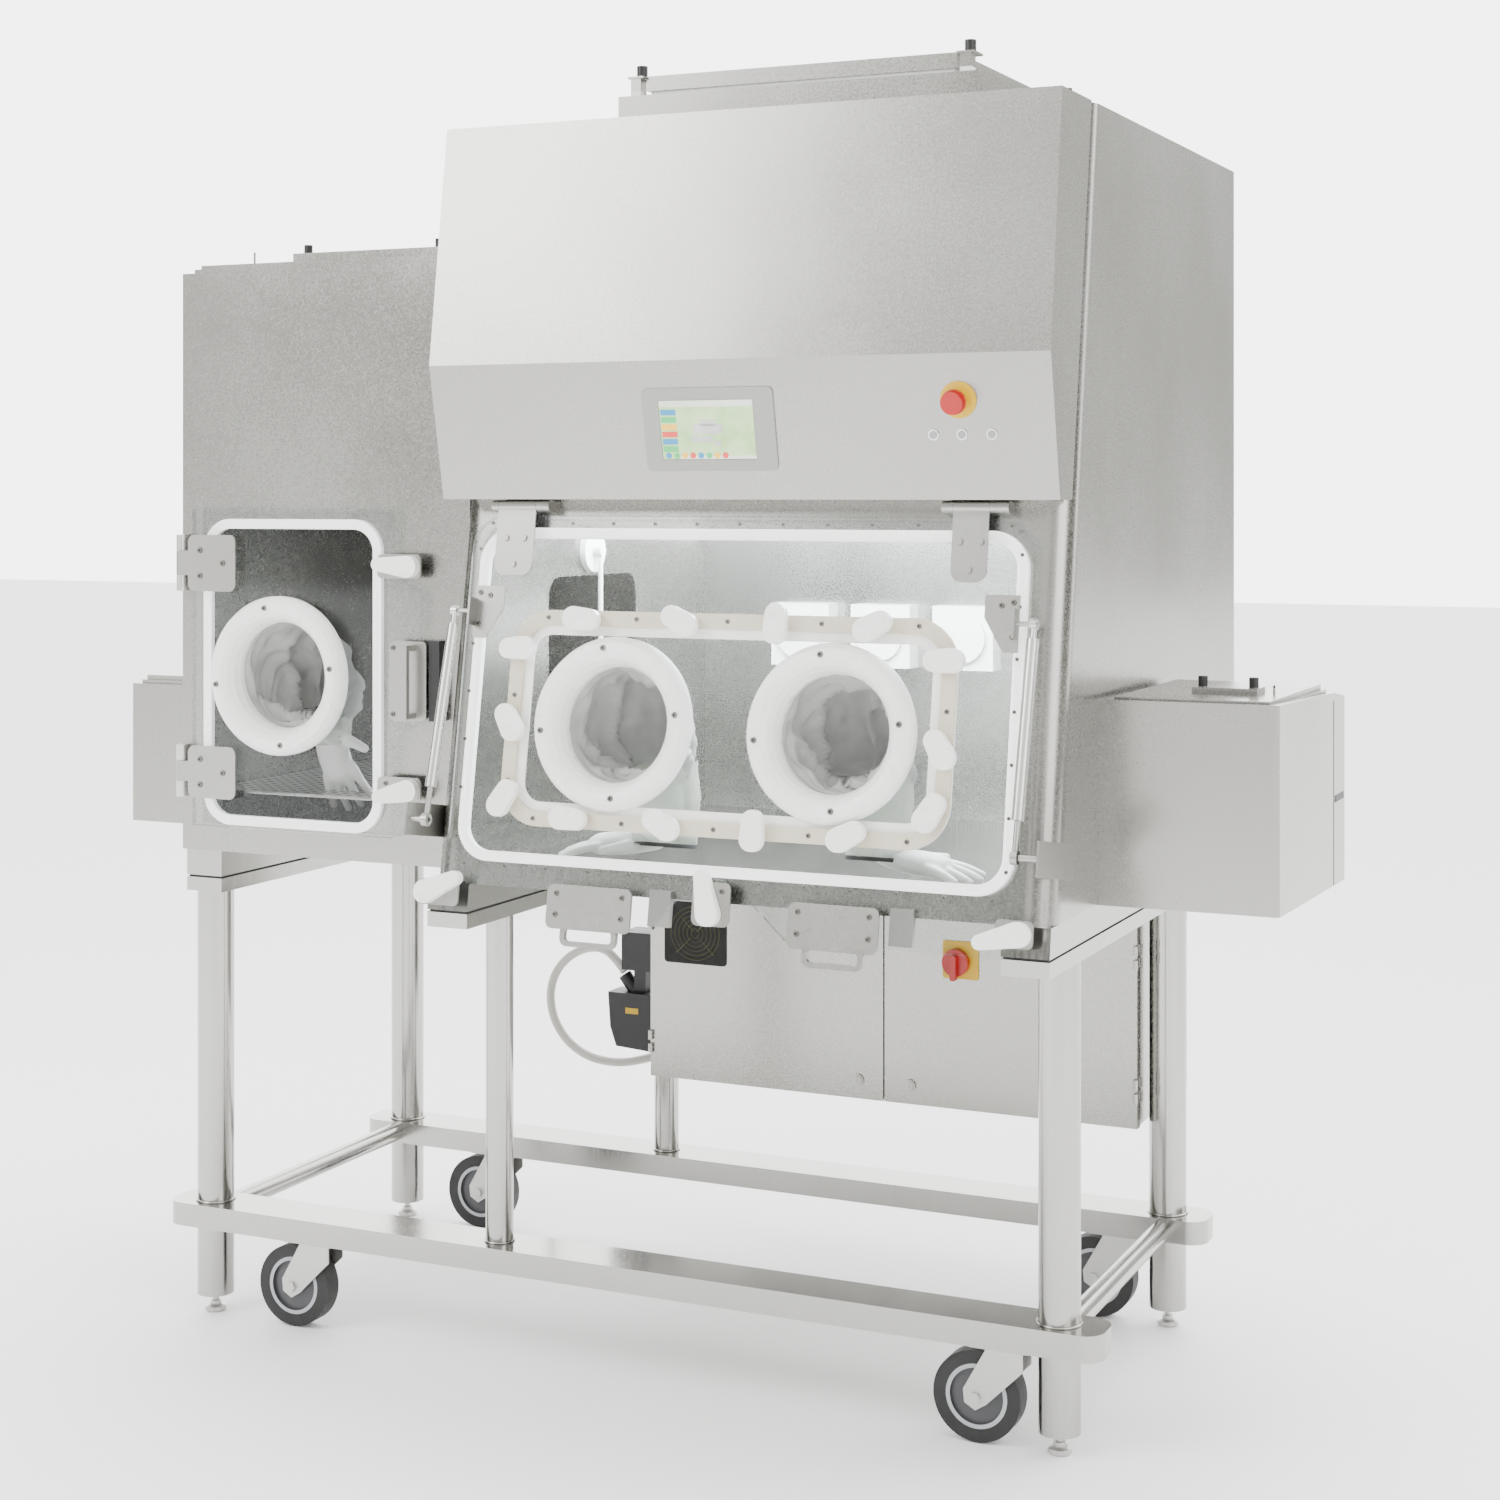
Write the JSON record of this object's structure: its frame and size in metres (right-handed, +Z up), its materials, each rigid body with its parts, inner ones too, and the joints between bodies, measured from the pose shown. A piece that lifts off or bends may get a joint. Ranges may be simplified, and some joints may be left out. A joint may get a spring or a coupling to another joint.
{
  "type": "laboratory glove box isolator",
  "caption": "Stainless laboratory isolator with a sloped clear glove door, side transfer chamber, electrical cabinet and wheeled stand.",
  "frame": {"origin": "on the floor, below the middle of the overall footprint, which is 11.5 mm right of and 52.8 mm behind the point midway between the four levelling feet", "axes": "+X to the right seen from the front, +Y to the rear, +Z up"},
  "size_m": [2.323, 1.2804, 2.333],
  "materials": {
    "brushed_frame": "satin stainless tube",
    "satin_shell": "fine bead-blasted stainless sheet",
    "mirror_liner": "smooth stainless liner",
    "black_rubber": "matt",
    "black_tyre": "matt rubber with grey hub",
    "black_plastic": "moulded",
    "screen_plastic": "dark bezel with lit screen",
    "yellow_plastic": "moulded",
    "red_plastic": "moulded",
    "white_plastic": "moulded",
    "beige_plastic": "machined sheet",
    "grey_cable": "extruded sheath",
    "sleeve_fabric": "thin coated sleeve",
    "clear_sheet": "clear polished sheet",
    "polished_fittings": "polished",
    "strut_metal": "dark coated tube",
    "zinc_fork": "zinc plated"
  },
  "bodies": {
    "isolator": {"stand_frame": "brushed_frame", "rubber_pads": "black_rubber", "chamber_base": "brushed_frame", "side_panel_left": "satin_shell", "side_panel_right": "satin_shell", "rear_panel": "satin_shell", "interior_liner": "mirror_liner", "front_frame": "satin_shell", "hood": "satin_shell", "filter_housing": "satin_shell", "hmi_panel": "screen_plastic", "hood_fittings": "yellow_plastic", "pass_shell": "satin_shell", "pass_front": "satin_shell", "side_box_right": "satin_shell", "side_box_left": "satin_shell", "cabinet_shell": "satin_shell", "cable_connector": "black_plastic", "power_cable": "grey_cable", "interior_fittings": "white_plastic", "frame_brackets": "polished_fittings", "pass_hinge_pins": "polished_fittings"},
    "main_door": {"door_main": "clear_sheet", "door_main_fittings": "polished_fittings"},
    "glove_insert": {"glove_panel": "clear_sheet", "glove_clamp_ring": "beige_plastic", "glove_ports_main": "white_plastic", "sleeves_main": "sleeve_fabric", "glove_knobs": "white_plastic"},
    "pass_door": {"door_pass": "clear_sheet", "door_pass_fittings": "polished_fittings", "glove_port_pass": "white_plastic", "sleeve_pass": "sleeve_fabric"},
    "estop": {"estop_button": "red_plastic"},
    "isolator_grip": {"isolator_handle": "red_plastic"},
    "cabinet_left": {"cabinet_door_left": "satin_shell"},
    "cabinet_right": {"cabinet_door_right": "satin_shell"},
    "lock_left": {"cabinet_lock_left": "polished_fittings"},
    "lock_right": {"cabinet_lock_right": "polished_fittings"},
    "strut_cyl_left": {"strut_cylinder_left": "strut_metal"},
    "strut_rod_left": {"strut_rod_left": "polished_fittings"},
    "strut_cyl_right": {"strut_cylinder_right": "strut_metal"},
    "strut_rod_right": {"strut_rod_right": "polished_fittings"},
    "main_lever_left": {"lever_main_left": "white_plastic"},
    "main_lever_centre": {"lever_main_centre": "white_plastic"},
    "main_lever_right": {"lever_main_right": "white_plastic"},
    "pass_lever_upper": {"lever_pass_upper": "white_plastic"},
    "pass_lever_lower": {"lever_pass_lower": "white_plastic"},
    "fork_front_left": {"caster_fork_front_left": "zinc_fork"},
    "wheel_front_left": {"caster_wheel_front_left": "black_tyre"},
    "fork_front_right": {"caster_fork_front_right": "zinc_fork"},
    "wheel_front_right": {"caster_wheel_front_right": "black_tyre"},
    "fork_rear_left": {"caster_fork_rear_left": "zinc_fork"},
    "wheel_rear_left": {"caster_wheel_rear_left": "black_tyre"},
    "fork_rear_right": {"caster_fork_rear_right": "zinc_fork"},
    "wheel_rear_right": {"caster_wheel_rear_right": "black_tyre"},
    "foot_front_left": {"levelling_foot_front_left": "zinc_fork"},
    "foot_front_right": {"levelling_foot_front_right": "zinc_fork"},
    "foot_rear_left": {"levelling_foot_rear_left": "zinc_fork"},
    "foot_rear_right": {"levelling_foot_rear_right": "zinc_fork"}
  },
  "joints": [
    {"name": "main_door_hinge", "type": "hinge", "parent": "isolator", "child": "main_door", "pos_m": [0.2965, -0.47464, 1.53318], "axis": [-1, 0, 0], "range_deg": [0, 65]},
    {"name": "glove_insert_slide", "type": "slide", "parent": "main_door", "child": "glove_insert", "axis": [0, -0.9867, 0.1625], "range_m": [0, 0.12]},
    {"name": "strut_pivot_left", "type": "hinge", "parent": "main_door", "child": "strut_cyl_left", "pos_m": [-0.2325, -0.52509, 1.34994], "axis": [1, 0, 0], "range_deg": [0, 87]},
    {"name": "strut_slide_left", "type": "slide", "parent": "strut_cyl_left", "child": "strut_rod_left", "axis": [0, -0.2638, -0.9646], "range_m": [0, 0.148]},
    {"name": "strut_pivot_right", "type": "hinge", "parent": "main_door", "child": "strut_cyl_right", "pos_m": [0.8255, -0.52509, 1.34994], "axis": [1, 0, 0], "range_deg": [0, 87]},
    {"name": "strut_slide_right", "type": "slide", "parent": "strut_cyl_right", "child": "strut_rod_right", "axis": [0, -0.2638, -0.9646], "range_m": [0, 0.148]},
    {"name": "main_lever_left_turn", "type": "hinge", "parent": "main_door", "child": "main_lever_left", "pos_m": [-0.2475, -0.5973, 0.86827], "axis": [0, -0.9867, 0.1625], "range_deg": [0, 90]},
    {"name": "main_lever_centre_turn", "type": "hinge", "parent": "main_door", "child": "main_lever_centre", "pos_m": [0.2925, -0.59746, 0.86729], "axis": [0, 0.9867, -0.1625], "range_deg": [0, 90]},
    {"name": "main_lever_right_turn", "type": "hinge", "parent": "main_door", "child": "main_lever_right", "pos_m": [0.8225, -0.59649, 0.87321], "axis": [0, 0.9867, -0.1625], "range_deg": [0, 90]},
    {"name": "pass_door_hinge", "type": "hinge", "parent": "isolator", "child": "pass_door", "pos_m": [-0.8875, -0.4408, 1.22], "axis": [0, 0, -1], "range_deg": [0, 110]},
    {"name": "pass_lever_upper_turn", "type": "hinge", "parent": "pass_door", "child": "pass_lever_upper", "pos_m": [-0.3725, -0.4568, 1.423], "axis": [0, 1, 0], "range_deg": [0, 90]},
    {"name": "pass_lever_lower_turn", "type": "hinge", "parent": "pass_door", "child": "pass_lever_lower", "pos_m": [-0.3725, -0.4568, 1.02], "axis": [0, -1, 0], "range_deg": [0, 90]},
    {"name": "estop_press", "type": "slide", "parent": "isolator", "child": "estop", "axis": [0, 0.9793, 0.2026], "range_m": [0, 0.004]},
    {"name": "cabinet_left_hinge", "type": "hinge", "parent": "isolator", "child": "cabinet_left", "pos_m": [-0.2205, 0.2047, 0.56], "axis": [0, 0, -1], "range_deg": [0, 110]},
    {"name": "cabinet_right_hinge", "type": "hinge", "parent": "isolator", "child": "cabinet_right", "pos_m": [0.7845, 0.2047, 0.56], "axis": [0, 0, 1], "range_deg": [0, 110]},
    {"name": "lock_left_turn", "type": "hinge", "parent": "cabinet_left", "child": "lock_left", "pos_m": [0.2295, 0.2072, 0.414], "axis": [0, -1, 0], "range_deg": [0, 90]},
    {"name": "lock_right_turn", "type": "hinge", "parent": "cabinet_right", "child": "lock_right", "pos_m": [0.3375, 0.2072, 0.414], "axis": [0, -1, 0], "range_deg": [0, 90]},
    {"name": "isolator_grip_turn", "type": "hinge", "parent": "cabinet_right", "child": "isolator_grip", "pos_m": [0.4345, 0.1972, 0.66], "axis": [0, 1, 0], "range_deg": [0, 90]},
    {"name": "fork_front_left_swivel", "type": "hinge", "parent": "isolator", "child": "fork_front_left", "pos_m": [-0.6115, -0.3888, 0.16], "axis": [0, 0, 1], "continuous": true},
    {"name": "wheel_front_left_spin", "type": "hinge", "parent": "fork_front_left", "child": "wheel_front_left", "pos_m": [-0.6565, -0.3888, 0.0765], "axis": [0, 1, 0], "continuous": true},
    {"name": "fork_front_right_swivel", "type": "hinge", "parent": "isolator", "child": "fork_front_right", "pos_m": [0.7335, -0.3888, 0.16], "axis": [0, 0, 1], "range_deg": [-120, 120]},
    {"name": "wheel_front_right_spin", "type": "hinge", "parent": "fork_front_right", "child": "wheel_front_right", "pos_m": [0.6885, -0.3888, 0.0765], "axis": [0, 1, 0], "continuous": true},
    {"name": "fork_rear_left_swivel", "type": "hinge", "parent": "isolator", "child": "fork_rear_left", "pos_m": [-0.6115, 0.2832, 0.16], "axis": [0, 0, 1], "continuous": true},
    {"name": "wheel_rear_left_spin", "type": "hinge", "parent": "fork_rear_left", "child": "wheel_rear_left", "pos_m": [-0.6565, 0.2832, 0.0765], "axis": [0, 1, 0], "continuous": true},
    {"name": "fork_rear_right_swivel", "type": "hinge", "parent": "isolator", "child": "fork_rear_right", "pos_m": [0.7335, 0.2832, 0.16], "axis": [0, 0, 1], "range_deg": [-120, 120]},
    {"name": "wheel_rear_right_spin", "type": "hinge", "parent": "fork_rear_right", "child": "wheel_rear_right", "pos_m": [0.6885, 0.2832, 0.0765], "axis": [0, 1, 0], "continuous": true},
    {"name": "foot_front_left_screw", "type": "slide", "parent": "isolator", "child": "foot_front_left", "axis": [0, 0, 1], "range_m": [-0.02, 0.012]},
    {"name": "foot_front_right_screw", "type": "slide", "parent": "isolator", "child": "foot_front_right", "axis": [0, 0, 1], "range_m": [-0.02, 0.012]},
    {"name": "foot_rear_left_screw", "type": "slide", "parent": "isolator", "child": "foot_rear_left", "axis": [0, 0, 1], "range_m": [-0.02, 0.012]},
    {"name": "foot_rear_right_screw", "type": "slide", "parent": "isolator", "child": "foot_rear_right", "axis": [0, 0, 1], "range_m": [-0.02, 0.012]}
  ],
  "couplings": [
    {"joint": "strut_pivot_left", "follows": "main_door_hinge", "ratio": 1.3052},
    {"joint": "strut_slide_left", "follows": "main_door_hinge", "m_per_rad": 0.1235},
    {"joint": "strut_pivot_right", "follows": "main_door_hinge", "ratio": 1.3052},
    {"joint": "strut_slide_right", "follows": "main_door_hinge", "m_per_rad": 0.1235}
  ]
}
